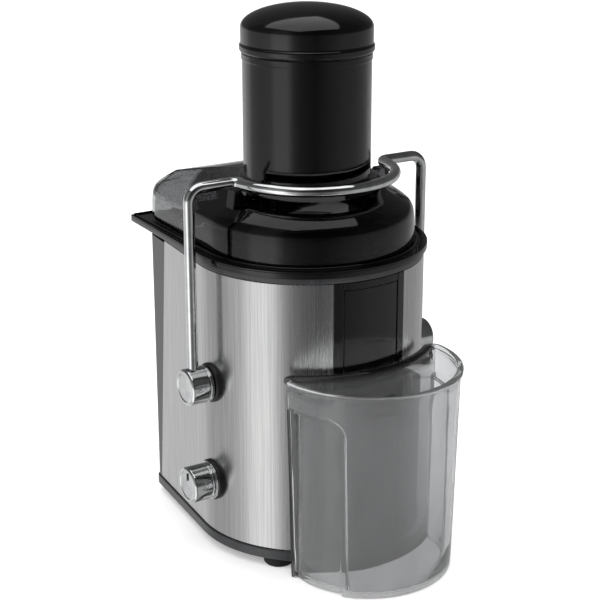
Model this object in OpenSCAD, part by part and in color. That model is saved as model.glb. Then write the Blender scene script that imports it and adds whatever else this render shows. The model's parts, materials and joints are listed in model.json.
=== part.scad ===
// Centrifugal juicer with a wire locking bail.
// The drive spindle stands upright. +X points to the rounded nose and the juice container,
// -X to the pulp bin, -Y to the front with the two knobs. Everything is drawn about the
// spindle and then shifted by spindle_x, so that the origin lies under the middle of the part.

/* [Body] */
// Radius of the rounded nose of the steel body
body_r = 76; // [74:0.5:78]
// Distance from the spindle to the flat rear end
body_rear = 98; // [96:0.5:100]
// Half width of the body at its rear end
body_half_w = 66; // [65:0.5:67]
// Height of the steel skin's top edge above the table
body_top = 192.8; // [192:0.2:193.6]
// Height of the steel skin's bottom edge above the table
body_bottom = 13; // [12.8:0.1:13.4]
// Thickness of the steel skin
skin_t = 0.8; // [0.6:0.1:1]
// Wall thickness of the plastic housing
wall_t = 2.4; // [2:0.1:2.6]
// Half angle of the black column on the nose, in degrees
column_a = 20.4; // [18:0.2:22]
// Half angle of the inset panel in the column, in degrees
panel_a = 15.4; // [14:0.2:16]
// Height of the rubber feet
foot_h = 5.7; // [5:0.1:6]

/* [Lid and pusher] */
// Radius of the lid wall around the nose
lid_r = 70; // [69:0.2:71]
// Distance from the spindle to the lid's rear wall
lid_rear = 105; // [104:0.5:106]
// Wall thickness of the lid
lid_t = 2.2; // [2:0.1:2.4]
// Outer radius of the feed tube
tube_r = 41; // [40.6:0.1:41.2]
// Wall thickness of the feed tube
tube_t = 2.5; // [2.3:0.1:2.6]
// Height of the feed tube's mouth above the table
tube_top = 322.9; // [318:0.1:328]
// Radial gap between the pusher and the feed tube
pusher_gap = 0.6; // [0.5:0.1:1]
// Height of the pusher's cap
cap_h = 29.8; // [26:0.2:34]

/* [Bail] */
// Height of the bail's pivot axis above the table
pivot_z = 117.4; // [116:0.2:119]
// Distance of the pivot and knob axes in front of the spindle
pivot_x = 3.8; // [3.4:0.1:4.2]
// Thickness of the bail wire
wire_d = 7; // [6:0.2:7]
// Distance from the middle plane to each leg of the bail
leg_y = 88.7; // [88.4:0.1:89]
// Height of the wire's middle where it crosses over the lid
bow_z = 246.5; // [246.5:0.5:250]
// Radius of the bow around the feed tube
bow_r = 54.5; // [53:0.5:56]
// Radius of the round knobs
knob_r = 12; // [11:0.5:12.5]
// Height of the speed knob's axis above the table
speed_z = 49.4; // [48:0.2:54]

/* [Containers] */
// Radius of the juice container's round outer wall at the rim
cup_r = 60; // [58:0.5:61]
// Distance from the spindle to the middle of the container's round wall
cup_x = 71; // [70:0.5:73]
// Height of the juice container
cup_h = 136; // [132:0.5:136.5]
// Gap between the container's hollow side and the body
cup_gap = 3.6; // [3:0.2:5]
// Wall thickness of both containers
cup_t = 2; // [1.8:0.1:2.4]

/* [Filter basket] */
// Radius of the basket's rim
basket_r = 55; // [54:0.5:55.5]
// Radius of the grater disc
disc_r = 43; // [42:0.5:44]

/* [Motor] */
// Radius of the motor shaft
shaft_r = 4; // [3.8:0.1:4.2]
// Width of the laminated stator
stator_w = 80; // [76:1:84]

/* [Hidden] */
$fn = 96;

// half of the part's length: the rear lip and the container's rim are equally far from the origin
lip_rear = 114;
spindle_x = (lip_rear - (cup_x + cup_r)) / 2;
flange_z = 197.3;
flange_t = 4;
lid_z = flange_z + flange_t;
core_r = body_r - skin_t;
core_in = core_r - wall_t;
deck_z = 150;
// height of the juice spout's floor where it leaves the nose
spout_z = 110;
// radius of the container's tips and how much it widens upwards
tip_r = 7;
cup_flare = 1.06;
bowl_z = 158;
bowl_r = 60;
disc_z = 174;
face_y = 95.1;
wire_r = wire_d / 2;
stator_z = 52;
stator_h = 40;
bolt_xy = 35;
// where the steel ends behind the spindle at its top edge, and how far that edge slopes
steel_rear = 69.4;
rear_tilt = 6;
side_dip = 0.02;
pin_r = 3;
corner_r = 9;
kink_r = 6;
kink_y = sqrt(pow(bow_r + kink_r, 2) - kink_r * kink_r);
kink_a = atan2(kink_y, kink_r);
run_gap = 0.05;
fit_gap = 0.02;
// rise of the pusher cap's dome
dome_h = 14.5;

// moves a sub-part from the spindle frame into the part's own frame
module place() translate([spindle_x, 0, 0]) children();

// direction of the outward normal on the straight sides of the plan outline
function side_angle(r, rear, half, rc) =
    atan2(half - rc, rc - rear) - acos((r - rc) / norm([rear - rc, half - rc]));

// plan outline: a round nose about the spindle, straight sides and a flat rear end.
// The straight lines lie side_dip inside the circles that they touch.
module plan(r, rear, half, rc) {
    a = side_angle(r, rear, half, rc);
    cx = rc - rear;
    cy = half - rc;
    side = [cos(a), sin(a)];
    nose = (r - side_dip) * side;
    tail = [cx, cy] + (rc - side_dip) * side;
    end = side_dip - rear;
    circle(r);
    for (s = [-1, 1]) translate([cx, s * cy]) circle(rc, $fn = 48);
    polygon([nose, tail, [end, cy], [end, -cy], [tail[0], -tail[1]], [nose[0], -nose[1]]]);
}

// the body's plan outline, moved inwards by inset
module body_plan(inset = 0)
    plan(body_r - inset, body_rear - inset, body_half_w - inset, 7 - min(inset, 5));

// a prism of the body's plan between two heights
module body_block(z0, z1, inset = 0)
    translate([0, 0, z0]) linear_extrude(z1 - z0) body_plan(inset);

// a wall that follows the body's plan
module body_wall(z0, z1, inset, t) difference() {
    body_block(z0, z1, inset);
    body_block(z0 - 1, z1 + 1, inset + t);
}

// a wedge about +X that reaches past the body
module wedge(half_a, z0, z1, r = 120)
    translate([0, 0, z0]) linear_extrude(z1 - z0)
        polygon([[0, 0], [r, -r * tan(half_a)], [r, r * tan(half_a)]]);

// everything behind the sloping rear edge of the steel skin, moved by shift along X
module rear_zone(shift = 0)
    translate([shift - steel_rear, 0, body_top]) rotate([0, -rear_tilt, 0])
        translate([-200, -150, -300]) cube([200, 300, 400]);

// a cylinder along Y from y0 to y1
module y_rod(x, z, r, y0, y1)
    translate([x, y0, z]) rotate([-90, 0, 0]) cylinder(r = r, h = y1 - y0);

module ring(r0, r1, z0, z1) translate([0, 0, z0]) difference() {
    cylinder(r = r1, h = z1 - z0);
    translate([0, 0, -1]) cylinder(r = r0, h = z1 - z0 + 2);
}

module disc(r, z0, z1) translate([0, 0, z0]) cylinder(r = r, h = z1 - z0);

module at_feet() for (p = [[44, 50], [44, -50], [-62, 55], [-62, -55]])
    translate([p[0], p[1], 0]) children();

module at_bolts() for (x = [-1, 1], y = [-1, 1])
    translate([x * bolt_xy, y * bolt_xy, 0]) children();

// ---------- base and housing ----------

// soft discs with a spigot that snaps into the base plate
module feet() place() color("#26272a") at_feet() difference() {
    union() {
        cylinder(r1 = 9, r2 = 10, h = 1.2);
        disc(10, 1.2, foot_h);
    }
    disc(2.6, 2, foot_h + 1);
    disc(4.5, -1, 3.6);
}

module foot_screws() place() color("#9a9ca0") at_feet() {
    disc(4, 2.1, 3.6);
    disc(2.4, 3.6, foot_h + 6);
}

module base_plate() place() color("#2b2c2f") difference() {
    union() {
        body_block(foot_h, foot_h + 3, 1.5);
        body_wall(foot_h + 3, body_bottom, skin_t + wall_t + 0.4, 2);
        at_feet() disc(6, foot_h + 3, foot_h + 7);
        at_bolts() disc(9, foot_h + 3, foot_h + 5);
    }
    at_feet() disc(2.45, 0, 30);
    at_bolts() disc(4.05, 0, 30);
    for (i = [-4:4]) translate([i * 6 - 1.5, -26, 0]) cube([3, 52, 20]);
}

// dark skirt around the foot of the body
module base_trim() place() color("#3a3b3e")
    body_wall(foot_h, body_bottom - 0.4, -1, 2.45);

// holes for the pivots and the speed knob, seen from the side
module side_holes() {
    for (s = [-1, 1]) y_rod(pivot_x, pivot_z, 7, s * 80 - 15, s * 80 + 15);
    y_rod(pivot_x, speed_z, 7, -95, -65);
}

// inner plastic body: open at the rear for the pulp bin, with a wall in front of it
module housing() place() color("#303134") difference() {
    union() {
        difference() {
            body_wall(body_bottom, body_top, skin_t, wall_t);
            rear_zone(0.3);
        }
        intersection() {
            body_block(body_bottom, deck_z - 0.2, skin_t + 1);
            translate([-49, -100, 0]) cube([2.5, 200, 200]);
        }
    }
    side_holes();
    // open at the foot, so that the body drops over the bushing of the cord
    translate([pivot_x - 8.05, 65, 0]) cube([16.1, 30, 34.05]);
    spout_window(0.4);
}

// the gap that the juice spout passes through, wider by gap on every side
module spout_window(gap) translate([60 - gap, -10 - gap, spout_z - 5 - gap])
    cube([30, 20 + 2 * gap, 19 + 2 * gap]);

module steel_skin() difference() {
    body_wall(body_bottom, body_top, 0, skin_t - 0.05);
    rear_zone(0.3);
    wedge(column_a, 0, 300);
    side_holes();
    y_rod(pivot_x, 26, 8.05, 65, 95);
}

// brushed sheet on the front side
module steel_front() place() color("#b9bbbd") intersection() {
    steel_skin();
    translate([-150, -150, 0]) cube([300, 150, 300]);
}

// brushed sheet on the back
module steel_back() place() color("#b9bbbd") intersection() {
    steel_skin();
    translate([-150, 0, 0]) cube([300, 150, 300]);
}

// black strip that covers the joint of the two sheets
module nose_column() place() color("#18191b") difference() {
    intersection() {
        ring(core_r + 0.05, body_r, body_bottom, body_top);
        wedge(column_a - 0.15, 0, 300);
    }
    wedge(panel_a, 18, 188);
}

// inset panel with the window of the juice spout
module nose_panel() place() color("#222326") difference() {
    intersection() {
        ring(core_r + 0.05, body_r - 0.15, 18.4, 187.6);
        wedge(panel_a - 0.5, 0, 300);
    }
    spout_window(0.4);
}

// dark band between the steel and the collector
module top_trim() place() color("#232427")
    body_wall(body_top + 0.2, flange_z - 0.3, 0.2, 3);

// floor under the collector, closing the motor room
module motor_deck() place() color("#2b2c2f") difference() {
    intersection() {
        body_block(deck_z, deck_z + 2.5, skin_t + wall_t + 0.3);
        translate([-49, -100, 0]) cube([200, 200, 300]);
    }
    disc(13, 0, 300);
    translate([49, -11, 100]) cube([40, 22, 100]);
}

// ---------- juice path, collector and lid ----------

// duct that leads the juice down inside the nose and out through the panel
module juice_spout() place() color("#1d1e20") difference() {
    translate([0, 10, 0]) rotate([90, 0, 0]) linear_extrude(20)
        polygon([[50, bowl_z - 0.2], [71.5, bowl_z - 0.2], [71.5, spout_z + 14],
            [88, spout_z + 7], [88, spout_z - 5], [61, spout_z + 1.5], [61, 147], [50, 152]]);
    translate([0, 8, 0]) rotate([90, 0, 0]) linear_extrude(16)
        polygon([[52, bowl_z], [69.5, bowl_z], [69.5, spout_z + 12.7], [89, spout_z + 4.5],
            [89, spout_z - 3.3], [63, spout_z + 3], [63, 148.2], [52, 153.2]]);
}

// flat flange with the bowl that catches the juice, and the drop hole for the pulp
module collector() place() color("#141517") difference() {
    union() {
        translate([0, 0, flange_z]) linear_extrude(flange_t) plan(78.3, lip_rear, 71.5, 2);
        disc(bowl_r, bowl_z, flange_z + 1);
        translate([0, 0, lid_z - 1]) linear_extrude(4) lid_plan(lid_t + 0.5);
    }
    translate([0, 0, lid_z]) linear_extrude(5) lid_plan(lid_t + 2.5);
    difference() {
        disc(bowl_r - 2, bowl_z + 2.5, 300);
        disc(15, 0, 166);
    }
    disc(12.5, 0, 300);
    translate([52, -8, 100]) cube([5, 16, bowl_z + 3 - 100]);
    difference() {
        translate([-95, -50, 100]) cube([95, 100, 200]);
        disc(bowl_r + 3, 0, 300);
    }
}

module collector_seal() place() color("#6b6d70")
    ring(13.2, 20, deck_z + 2.6, bowl_z - 0.1);

// the lid's plan outline, moved inwards by inset
module lid_plan(inset = 0)
    plan(lid_r - inset, lid_rear - inset, 66 - inset, 18 - inset * 0.8);

module lid_slice(z, inset) translate([0, 0, z]) linear_extrude(0.01) lid_plan(inset);

// solid crown of the lid: each step is a height above the flange and an inset
module lid_crown(inset, drop) hull() {
    lid_slice(lid_z - drop, inset);
    lid_slice(lid_z + 15 - drop, inset + 0.4);
    lid_slice(lid_z + 21.5 - drop, inset + 1.8);
    lid_slice(lid_z + 25 - drop, inset + 5.5);
    lid_slice(lid_z + 33.5 - drop, inset + 17);
    disc(tube_r + 3, lid_z + 41.5 - drop, lid_z + 42 - drop);
}

// smoky lid with the feed tube and the two lugs that the bail presses down
module lid() place() color("#3b3d40", 0.7) difference() {
    union() {
        difference() {
            lid_crown(0, -0.3, $fn = 64);
            lid_crown(lid_t, 2, $fn = 64);
        }
        disc(tube_r, 183, tube_top);
        ring(tube_r - 1, tube_r + 0.5, tube_top - 4.1, tube_top);
        ring(tube_r - 1, tube_r + 3, lid_z + 40, lid_z + 43);
        for (s = [-1, 1]) translate([pivot_x - 4, s * 56 - 5, lid_z + 22])
            cube([9, 10, bow_z - wire_r - 0.5 - lid_z - 22]);
    }
    disc(tube_r - tube_t, 100, 400);
}

// ---------- fittings on the sides ----------

// black rings under the bail's knobs
module pivot_rings() place() color("#17181a") difference() {
    for (s = [-1, 1]) y_rod(pivot_x, pivot_z, knob_r + 0.8, s * 74 - 4.6, s * 74 + 4.6);
    body_block(0, 300, -0.05);
    y_rod(pivot_x, pivot_z, 7, -100, 100);
}

// flanged bushings in the housing wall
module pivot_bushings() place() color("#d9d6cc") difference() {
    for (s = [-1, 1]) {
        y_rod(pivot_x, pivot_z, 6.95, s * 74.3 - 4.3, s * 74.3 + 4.3);
        y_rod(pivot_x, pivot_z, 9.5, s * 70.5 - 1, s * 70.5 + 1);
    }
    y_rod(pivot_x, pivot_z, pin_r + run_gap, -100, 100);
}

module speed_knob_base() place() color("#17181a") difference() {
    union() {
        y_rod(pivot_x, speed_z, knob_r + 1.4, -78.6, -70);
        y_rod(pivot_x, speed_z, 6.95, -79, -70);
    }
    difference() {
        body_block(0, 300, -0.05);
        y_rod(pivot_x, speed_z, 6.95, -90, -60);
    }
    y_rod(pivot_x, speed_z, pin_r + run_gap, -100, 0);
}

// bushing where the cord enters: a tight sleeve inside the body and a wider mouth outside
module cord_gland() place() color("#1b1c1e") difference() {
    union() {
        y_rod(pivot_x, 26, 8, 62.5, 78);
        y_rod(pivot_x, 26, 10, 76.1, 79);
    }
    y_rod(pivot_x, 26, 3.5, 60, 90);
    y_rod(pivot_x, 26, 4.5, 71, 90);
}

// ---------- motor, fixed parts ----------

module bracket_bar(z, h) translate([0, 0, z]) linear_extrude(h) {
    circle(16);
    for (a = [45, 135]) rotate(a) square([2 * bolt_xy * sqrt(2), 12.8], center = true);
    for (x = [-1, 1], y = [-1, 1]) translate([x * bolt_xy, y * bolt_xy]) circle(7);
}

module bracket(z, h, cup_z, cup_len) color("#a4a6a8") difference() {
    union() {
        bracket_bar(z, h);
        disc(14, cup_z, cup_z + cup_len);
    }
    disc(11 + fit_gap, cup_z + 1.5, cup_z + cup_len + 5);
    disc(6, 0, 300);
    at_bolts() disc(2.55, 0, 300);
}

module lower_bracket() place() bracket(24, 3, 22.5, 8.7);

module upper_bracket() place() mirror([0, 0, 1]) translate([0, 0, -156])
    bracket(24, 3, 22.5, 8.7);

module bearing(z) color("#c9cacc") difference() {
    disc(11, z, z + 7);
    disc(shaft_r + run_gap, 0, 300);
    ring(6, 9.2, z + 6.4, z + 8);
    ring(6, 9.2, z - 1, z + 0.6);
}

module lower_bearing() place() bearing(24.1);

module upper_bearing() place() bearing(124.9);

// rubber blocks that carry the motor
module motor_mounts() place() color("#222326") at_bolts() {
    disc(7, foot_h + 5.05, 23.9);
    disc(4, foot_h + 1, foot_h + 5.05);
}

module stator_core() place() color("#8a8c8f") difference() {
    translate([0, 0, stator_z]) linear_extrude(stator_h) difference() {
        intersection() {
            square(stator_w, center = true);
            circle(53);
        }
        circle(25);
        for (s = [-1, 1]) for (t = [-1, 1])
            translate([s * 20, t * 26]) square([9, 14], center = true);
    }
    at_bolts() disc(2.55, 0, 300);
}

// copper windings: four bundles through the core's slots and their end turns
module field_coils() place() color("#b06a35") {
    for (s = [-1, 1], t = [-1, 1]) translate([s * 20 - 4, t * 26 - 6.5, stator_z - 6])
        cube([8, 13, stator_h + 12]);
    for (s = [-1, 1], z = [stator_z - 6, stator_z + stator_h + 1])
        translate([-16, s * 28 - 4.5, z]) cube([32, 9, 5]);
}

// bolts that hold the brackets and the core together
module tie_bolts() place() color("#9a9ca0") at_bolts() {
    disc(2.5, 24, 134.5);
    translate([0, 0, 132.05]) cylinder(r = 4.6, h = 4, $fn = 6);
}

module brush_holders() place() color("#7a5a2c") difference() {
    for (s = [-1, 1]) translate([s * 24 - 8, -5.5, 31.5]) cube([16, 11, 12]);
    translate([-40, -3.5, 34]) cube([80, 7, 7]);
}

module carbon_brushes() place() color("#3c3c3e")
    for (s = [-1, 1]) translate([s * 21 - 8.7, -3.4, 34.1]) cube([17.4, 6.8, 6.8]);

// rotary switch behind the speed knob
module speed_switch() place() color("#44464a") difference() {
    translate([pivot_x - 12, -66, speed_z - 12]) cube([24, 14, 24]);
    y_rod(pivot_x, speed_z, pin_r + run_gap, -80, -40);
}

// safety switch under the pivot's cam
module interlock_switch() place() color("#5a2326") difference() {
    translate([pivot_x - 8, -64, 86]) cube([20, 9, 12]);
    translate([pivot_x - 1.6, -61.1, 90]) cube([3.2, 3.2, 20]);
}

module terminal_block() place() color("#d8d4c6") difference() {
    translate([-20, 48, foot_h + 3]) cube([36, 14, 12]);
    for (i = [0:3]) translate([-15.5 + i * 9, 55, 15]) cylinder(r = 2.5, h = 10);
}

// ---------- rotor ----------

module motor_shaft() place() color("#d0d1d3") {
    disc(shaft_r, 22, 164);
}

module armature() place() color("#7d7f82") difference() {
    union() {
        disc(24.2, stator_z, stator_z + stator_h);
        disc(19, stator_z - 7, stator_z);
        disc(19, stator_z + stator_h, stator_z + stator_h + 7);
    }
    disc(shaft_r + fit_gap, 0, 300);
    for (i = [0:11]) rotate(i * 30) translate([21, -1.2, 0]) cube([6, 2.4, 300]);
}

module commutator() place() color("#b87333") difference() {
    disc(12, 32, 44.9);
    disc(shaft_r + fit_gap, 0, 300);
}

module cooling_fan() place() color("#3a3b3e") difference() {
    union() {
        disc(8, 104, 116);
        disc(34, 104, 106);
        for (i = [0:9]) rotate(i * 36) translate([7, -0.8, 105]) cube([26, 1.6, 11]);
    }
    disc(shaft_r + fit_gap, 0, 300);
}

// splined driver on the shaft's end
module drive_coupling() place() color("#2a2b2e") difference() {
    union() {
        disc(11, 154, 160);
        translate([0, 0, 160]) linear_extrude(7) difference() {
            circle(9);
            for (i = [0:5]) rotate(i * 60) translate([9, 0]) circle(2, $fn = 24);
        }
    }
    disc(shaft_r + fit_gap, 0, 165);
}

// plastic bottom of the basket, with the socket that sits on the coupling
module basket_hub() place() color("#2a2b2e") difference() {
    union() {
        disc(disc_r + 2, 169.5, disc_z - 0.1);
        disc(12, 160.2, 170);
        disc(5, 170, disc_z + 1.6);
    }
    disc(9.1, 0, 167.2);
}

// steel disc with rows of grating teeth
module grater_disc() place() color("#c4c6c8") difference() {
    union() {
        disc(disc_r, disc_z, disc_z + 1.4);
        for (i = [0:23]) rotate(i * 15) for (j = [0:3])
            translate([14 + j * 7 + (i % 2) * 3, -0.8, disc_z + 1]) cube([2.4, 1.6, 1.9]);
    }
    disc(5 + fit_gap, 0, 300);
}

// slotted conical sieve
module filter_mesh() place() color("#b4b6b8") difference() {
    rotate_extrude() polygon([[disc_r + 1.2, disc_z], [disc_r + 2, disc_z],
        [basket_r - 1.4, 203], [basket_r - 2.2, 203]]);
    for (i = [0:29]) rotate(i * 12) for (j = [0:2])
        translate([disc_r, -0.6, disc_z + 3 + j * 8.6]) cube([12, 1.2, 6.6]);
}

module basket_rim() place() color("#c4c6c8") rotate_extrude()
    polygon([[basket_r - 2.4, 203], [basket_r, 203], [basket_r, 206], [basket_r - 2.4, 206]]);

module hub_nut() place() color("#c4c6c8") rotate_extrude()
    polygon([[0, disc_z + 1.6], [8, disc_z + 1.6], [8, disc_z + 3.5], [6, disc_z + 6],
        [0, disc_z + 6.6]]);

// ---------- pusher ----------

module pusher_body() place() color("#1a1b1d") difference() {
    disc(tube_r - tube_t - pusher_gap, 192, tube_top + 2.4);
    disc(tube_r - tube_t - pusher_gap - 2, 194, 400);
}

// domed grip cap with a bead at its lower edge
module pusher_cap() place() color("#0f1011") translate([0, 0, tube_top + 0.3]) difference() {
    rotate_extrude() polygon(concat(
        [[0, 0], [42.3, 0], [42.8, 1.2], [42.8, 4.2], [42.1, 5.6], [41.9, cap_h - dome_h]],
        [for (a = [12:6:90]) [41.9 * cos(a), cap_h - dome_h * (1 - sin(a))]]));
    disc(tube_r - tube_t - pusher_gap + fit_gap, -1, 2.2);
    disc(tube_r - tube_t - pusher_gap - 2, -1, cap_h - dome_h - 3);
}

// ---------- bail ----------

// one half of the bail's middle line, from the leg's end to the bow. Each entry holds a
// point, the wire's direction there and the first vector across it.
function bail_half() = concat(
    [for (z = [pivot_z + 4, (pivot_z + bow_z) / 2, bow_z - corner_r])
        [[0, -leg_y, z], [0, 0, 1], [1, 0, 0]]],
    [for (a = [15:15:90]) [[0, -leg_y + corner_r - corner_r * cos(a),
        bow_z - corner_r + corner_r * sin(a)], [0, sin(a), cos(a)], [1, 0, 0]]],
    [for (i = [0:5]) let (a = kink_a * i / 5) [[kink_r - kink_r * cos(a),
        -kink_y + kink_r * sin(a), bow_z], [sin(a), cos(a), 0], [cos(a), -sin(a), 0]]],
    [for (i = [1:12]) let (a = -kink_a + kink_a * i / 12) [[bow_r * cos(a), bow_r * sin(a),
        bow_z], [-sin(a), cos(a), 0], [cos(a), sin(a), 0]]]);

// mirrors an entry to the other side and turns its direction
function other_side(e) = [[e[0][0], -e[0][1], e[0][2]], [-e[1][0], e[1][1], -e[1][2]],
    [e[2][0], -e[2][1], e[2][2]]];

// a round wire swept along a list of entries
module sweep(path, r, sides) {
    n = len(path);
    points = [for (e = path, j = [0:sides - 1]) let (a = 360 * j / sides)
        e[0] + r * (cos(a) * e[2] + sin(a) * cross(e[1], e[2]))];
    walls = [for (i = [0:n - 2], j = [0:sides - 1]) let (k = (j + 1) % sides)
        [i * sides + j, (i + 1) * sides + j, (i + 1) * sides + k, i * sides + k]];
    ends = [[for (j = [0:sides - 1]) j], [for (j = [0:sides - 1]) n * sides - 1 - j]];
    polyhedron(points, concat(walls, ends), convexity = 8);
}

// chrome wire: two legs, two arms over the lid and the bow around the feed tube
module bail_wire() place() color("#cfd1d3") translate([pivot_x, 0, 0]) {
    half = bail_half();
    n = len(half);
    sweep(concat(half, [for (i = [2:n]) other_side(half[n - i])]), wire_r, 16);
}

module bail_knobs() place() color("#c9cbcd") difference() {
    for (s = [0, 1]) mirror([0, s, 0]) translate([pivot_x, 79, pivot_z]) rotate([-90, 0, 0]) {
        cylinder(r = knob_r, h = face_y - 79 - 1);
        translate([0, 0, face_y - 80]) cylinder(r1 = knob_r, r2 = knob_r - 1, h = 1);
    }
    for (s = [-1, 1]) {
        translate([pivot_x, s * leg_y, pivot_z + 4]) cylinder(r = wire_r + fit_gap, h = 30);
        y_rod(pivot_x, pivot_z, pin_r + fit_gap, s * 82 - 3.5, s * 82 + 3.5);
    }
}

// pivot pins; the front one carries the cam of the safety switch
module bail_pins() place() color("#8d8f92") {
    for (s = [-1, 1]) y_rod(pivot_x, pivot_z, pin_r, s * 75.5 - 9.5, s * 75.5 + 9.5);
    difference() {
        translate([-1.6, 0, -1]) y_rod(pivot_x, pivot_z, 9, -63.5, -58.5);
        y_rod(pivot_x, pivot_z, pin_r + fit_gap, -70, -62);
    }
    y_rod(pivot_x, pivot_z, pin_r, -66, -58.5);
}

module speed_knob() place() color("#c9cbcd") difference() {
    translate([pivot_x, -79.1, speed_z]) rotate([90, 0, 0]) {
        cylinder(r = knob_r, h = face_y - 80.1);
        translate([0, 0, face_y - 80.1]) cylinder(r1 = knob_r, r2 = knob_r - 1, h = 1);
    }
    translate([pivot_x - 0.7, -face_y - 1, speed_z + 3]) cube([1.4, 1.6, 8]);
    y_rod(pivot_x, speed_z, pin_r + fit_gap, -86, -70);
}

module speed_stem() place() color("#8d8f92") y_rod(pivot_x, speed_z, pin_r, -85.8, -54);

// small plunger between the cam and the safety switch
module interlock_plunger() place() color("#d8d4c6")
    translate([pivot_x - 1.4, -60.9, 92]) cube([2.8, 2.8, 14.8]);

// ---------- containers ----------

// plan of the juice container: a round outer wall cut by a hollow that clears the nose.
// The two tips between them are rounded about the same middle at every inset.
module cup_plan(inset = 0) {
    far = cup_r - tip_r;
    near = body_r + cup_gap + tip_r;
    tx = (near * near - far * far + cup_x * cup_x) / (2 * cup_x);
    ty = sqrt(near * near - tx * tx);
    difference() {
        translate([cup_x, 0]) circle(cup_r - inset);
        circle(body_r + cup_gap + inset);
        for (s = [-1, 1]) polygon([[tx, s * ty],
            [tx + (tx - cup_x) * 0.3, s * ty * 1.3], [tx - 30, s * ty * 1.3],
            [tx - 30, s * ty * 0.8], [tx * 0.8, s * ty * 0.8]]);
    }
    for (s = [-1, 1]) translate([tx, s * ty]) circle(tip_r - inset, $fn = 24);
}

// the container's wall widens upwards, away from its hollow side
module cup_block(h, inset) translate([80, 0, 0]) linear_extrude(h, scale = cup_flare)
    translate([-80, 0]) cup_plan(inset);

// the two grip recesses, grown by t so that the wall keeps its thickness behind them
module grips(t) difference() {
    for (s = [-1, 1]) translate([cup_x, 0, 0]) rotate(s * 84) rotate([90, 0, 90])
        linear_extrude(80) {
            translate([-30 - t, -1]) square([60 + 2 * t, 107]);
            translate([-20, 100]) square([40, 16 + t]);
            for (x = [-20, 20]) translate([x, 106]) circle(10 + t, $fn = 48);
        }
    for (s = [-1, 1]) translate([cup_x + 2, s * 5, -2]) cylinder(r = 47 - t, h = 200);
}

module juice_container() place() color("#8a8c8e", 0.6) difference() {
    union() {
        difference() {
            cup_block(cup_h - 2, 4.5);
            grips(0);
        }
        translate([0, 0, cup_h - 3]) linear_extrude(3) cup_plan(0);
    }
    translate([0, 0, cup_t + 0.5]) difference() {
        cup_block(cup_h, 4.5 + cup_t);
        grips(cup_t);
    }
    translate([60, -12, spout_z - 8]) cube([32, 24, 18]);
}

// bin behind the motor: its rear wall closes the body
module pulp_bin() place() color("#17181a") {
    difference() {
        intersection() {
            body_block(body_bottom + 0.2, body_top - 1.5);
            rear_zone(-0.3);
        }
        body_block(0, 300, 2.4);
    }
    difference() {
        bin_block(0, body_bottom + 0.2, body_top - 1.5);
        bin_block(cup_t, body_bottom + 2.7, 300);
    }
}

// the bin's box, with its walls moved in by inset: it steps back to pass behind the bowl
module bin_block(inset, z0, z1) translate([0, 50 - inset, 0]) rotate([90, 0, 0])
    linear_extrude(100 - 2 * inset) polygon([[inset - 96.5, z0], [-52 - inset, z0],
        [-52 - inset, deck_z - inset], [-62 - inset, deck_z + 6 - inset],
        [-62 - inset, z1], [inset - 96.5, z1]]);

feet();
foot_screws();
base_plate();
base_trim();
housing();
steel_front();
steel_back();
nose_column();
nose_panel();
top_trim();
motor_deck();
juice_spout();
collector();
collector_seal();
lid();
pivot_rings();
pivot_bushings();
speed_knob_base();
cord_gland();
lower_bracket();
upper_bracket();
lower_bearing();
upper_bearing();
motor_mounts();
stator_core();
field_coils();
tie_bolts();
brush_holders();
carbon_brushes();
speed_switch();
interlock_switch();
terminal_block();
motor_shaft();
armature();
commutator();
cooling_fan();
drive_coupling();
basket_hub();
grater_disc();
filter_mesh();
basket_rim();
hub_nut();
pusher_body();
pusher_cap();
bail_wire();
bail_knobs();
bail_pins();
speed_knob();
speed_stem();
interlock_plunger();
juice_container();
pulp_bin();
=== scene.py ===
"""Looks of a centrifugal juicer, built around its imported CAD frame. Lengths are millimetres
from the spindle unless a name says metres."""

import json
from math import acos, asin, atan2, cos, degrees, hypot, pi, radians, sin, sqrt, tan

import bmesh
import bpy
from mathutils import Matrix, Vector


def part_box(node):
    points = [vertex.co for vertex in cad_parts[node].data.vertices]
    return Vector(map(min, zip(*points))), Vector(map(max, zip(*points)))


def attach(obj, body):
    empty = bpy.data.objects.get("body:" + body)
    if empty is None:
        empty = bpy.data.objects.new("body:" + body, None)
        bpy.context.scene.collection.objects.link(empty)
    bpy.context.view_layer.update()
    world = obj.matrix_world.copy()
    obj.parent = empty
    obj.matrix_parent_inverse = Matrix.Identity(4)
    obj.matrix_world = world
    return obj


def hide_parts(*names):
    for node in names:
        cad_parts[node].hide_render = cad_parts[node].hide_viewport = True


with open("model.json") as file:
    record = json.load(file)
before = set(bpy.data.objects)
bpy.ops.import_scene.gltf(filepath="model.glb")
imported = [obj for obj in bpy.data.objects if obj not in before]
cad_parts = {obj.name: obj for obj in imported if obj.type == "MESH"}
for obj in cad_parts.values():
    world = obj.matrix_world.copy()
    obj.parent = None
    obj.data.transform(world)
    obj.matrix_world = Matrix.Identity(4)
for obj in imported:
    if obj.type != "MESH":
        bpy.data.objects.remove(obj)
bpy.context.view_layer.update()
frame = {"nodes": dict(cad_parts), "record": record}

MM = 0.001
shaft_low, shaft_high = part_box("motor_shaft")
SPINDLE_X = (shaft_low[0] + shaft_high[0]) / 2


def low(node):
    """Lowest corner of a CAD node, in millimetres from the spindle."""
    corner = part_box(node)[0]
    return Vector(((corner[0] - SPINDLE_X) / MM, corner[1] / MM, corner[2] / MM))


def high(node):
    """Highest corner of a CAD node, in millimetres from the spindle."""
    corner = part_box(node)[1]
    return Vector(((corner[0] - SPINDLE_X) / MM, corner[1] / MM, corner[2] / MM))


# ---------- camera ----------

CAMERA_AZIMUTH = radians(57.27)
CAMERA_PITCH = radians(18.33)
CAMERA_REACH = 0.9542
CAMERA_HEIGHT = 0.4744
CAMERA_LENS = 91.16
CAMERA_SHIFT = -0.0117


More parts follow.
